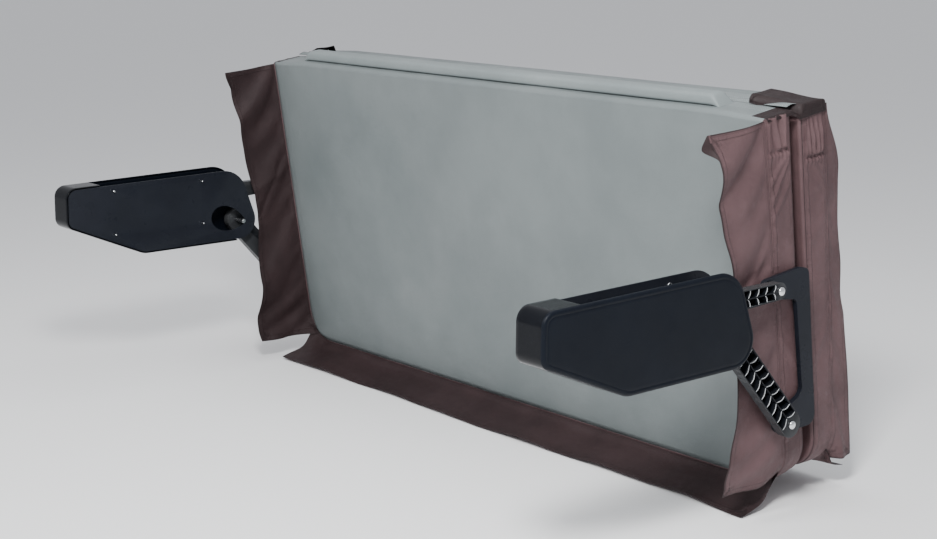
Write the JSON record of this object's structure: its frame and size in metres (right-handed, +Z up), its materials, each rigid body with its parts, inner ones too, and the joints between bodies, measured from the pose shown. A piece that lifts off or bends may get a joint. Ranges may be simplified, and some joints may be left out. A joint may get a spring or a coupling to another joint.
{
  "type": "spa cover",
  "caption": "Two-half folding spa cover of foam in vinyl, carried on a side-mounted linkage lifter that stores it upright behind the tub.",
  "frame": {"origin": "middle of the upper links' ground axis, halfway between the two tub side walls that the back plates are screwed to", "axes": "+X along the cover's length to the right-hand end, +Y horizontally away from the tub, +Z up"},
  "size_m": [2.54, 1.3383, 1.168],
  "materials": {
    "vinyl_brown": "woven-look marine vinyl, matt",
    "vinyl_grey": "smooth vinyl, satin",
    "foam": "closed-cell foam, matt",
    "webbing": "woven webbing",
    "zinc_steel": "galvanised",
    "black_plastic": "moulded, satin",
    "black_steel": "powder coated, satin",
    "bright_steel": "bright"
  },
  "bodies": {
    "housings": {"right_back_plate": "black_steel", "right_housing_shell": "black_plastic", "right_ground_shaft": "bright_steel", "right_gas_cylinder": "black_steel", "right_wall_screw_1": "bright_steel", "right_wall_screw_2": "bright_steel", "right_wall_screw_3": "bright_steel", "right_wall_screw_4": "bright_steel", "left_back_plate": "black_steel", "left_housing_shell": "black_plastic", "left_ground_shaft": "bright_steel", "left_gas_cylinder": "black_steel", "left_wall_screw_1": "bright_steel", "left_wall_screw_2": "bright_steel", "left_wall_screw_3": "bright_steel", "left_wall_screw_4": "bright_steel"},
    "rear_cover": {"right_carrier_plate": "black_steel", "right_upper_bolt": "bright_steel", "right_lower_bolt": "bright_steel", "left_carrier_plate": "black_steel", "left_upper_bolt": "bright_steel", "left_lower_bolt": "bright_steel", "upper_cross_tube": "black_steel", "lower_cross_tube": "black_steel", "heat_seal_bar": "vinyl_grey", "hinge_strip": "vinyl_grey", "rear_top_skin": "vinyl_brown", "rear_underside": "vinyl_grey", "rear_hinge_panel": "vinyl_grey", "rear_steel_channel": "zinc_steel", "rear_foam_core": "foam", "rear_right_flap": "vinyl_brown", "rear_left_flap": "vinyl_brown", "rear_outer_flap": "vinyl_brown", "rear_grab_handle": "webbing"},
    "front_cover": {"front_top_skin": "vinyl_brown", "front_underside": "vinyl_grey", "front_hinge_panel": "vinyl_grey", "front_steel_channel": "zinc_steel", "front_foam_core": "foam", "front_right_flap": "vinyl_brown", "front_left_flap": "vinyl_brown", "front_outer_flap": "vinyl_brown", "front_grab_handle": "webbing", "front_right_end_tongue": "vinyl_brown", "front_left_end_tongue": "vinyl_brown"},
    "right_upper_arm": {"right_upper_link": "black_plastic", "right_crank_pin": "bright_steel"},
    "right_lower_arm": {"right_lower_link": "black_plastic", "right_guide_pin": "bright_steel"},
    "right_gas_piston": {"right_gas_rod": "bright_steel", "right_gas_yoke": "black_steel"},
    "left_upper_arm": {"left_upper_link": "black_plastic", "left_crank_pin": "bright_steel"},
    "left_lower_arm": {"left_lower_link": "black_plastic", "left_guide_pin": "bright_steel"},
    "left_gas_piston": {"left_gas_rod": "bright_steel", "left_gas_yoke": "black_steel"}
  },
  "joints": [
    {"name": "right_upper_swing", "type": "hinge", "parent": "housings", "child": "right_upper_arm", "pos_m": [1.235, 0, 0], "axis": [1, 0, 0], "range_deg": [0, 152.18]},
    {"name": "left_upper_swing", "type": "hinge", "parent": "housings", "child": "left_upper_arm", "pos_m": [-1.235, 0, 0], "axis": [1, 0, 0], "range_deg": [0, 152.23]},
    {"name": "cover_tilt", "type": "hinge", "parent": "right_upper_arm", "child": "rear_cover", "pos_m": [1.235, 0.426, 0.01], "axis": [1, 0, 0], "range_deg": [-70.63, 0]},
    {"name": "front_fold", "type": "hinge", "parent": "rear_cover", "child": "front_cover", "pos_m": [0, 0.53057, 0.52634], "axis": [1, 0, 0], "range_deg": [0, 180], "deforming": ["hinge_strip"]},
    {"name": "right_lower_swing", "type": "hinge", "parent": "rear_cover", "child": "right_lower_arm", "pos_m": [1.235, 0.495, -0.386], "axis": [1, 0, 0], "range_deg": [0, 92.38]},
    {"name": "left_lower_swing", "type": "hinge", "parent": "rear_cover", "child": "left_lower_arm", "pos_m": [-1.235, 0.495, -0.386], "axis": [1, 0, 0], "range_deg": [0, 92.38]},
    {"name": "right_gas_stroke", "type": "slide", "parent": "housings", "child": "right_gas_piston", "axis": [0, -1, 0], "range_m": [0, 0.0468]},
    {"name": "left_gas_stroke", "type": "slide", "parent": "housings", "child": "left_gas_piston", "axis": [0, -1, 0], "range_m": [0, 0.0468]}
  ],
  "couplings": [
    {"joint": "left_upper_swing", "follows": "right_upper_swing", "ratio": 1},
    {"joint": "cover_tilt", "follows": "right_upper_swing", "ratio": -0.46377},
    {"joint": "right_lower_swing", "follows": "right_upper_swing", "ratio": 0.60674},
    {"joint": "left_lower_swing", "follows": "right_upper_swing", "ratio": 0.60674},
    {"joint": "right_gas_stroke", "follows": "right_upper_swing", "m_per_rad": 0.017542},
    {"joint": "left_gas_stroke", "follows": "right_upper_swing", "m_per_rad": 0.017542}
  ]
}
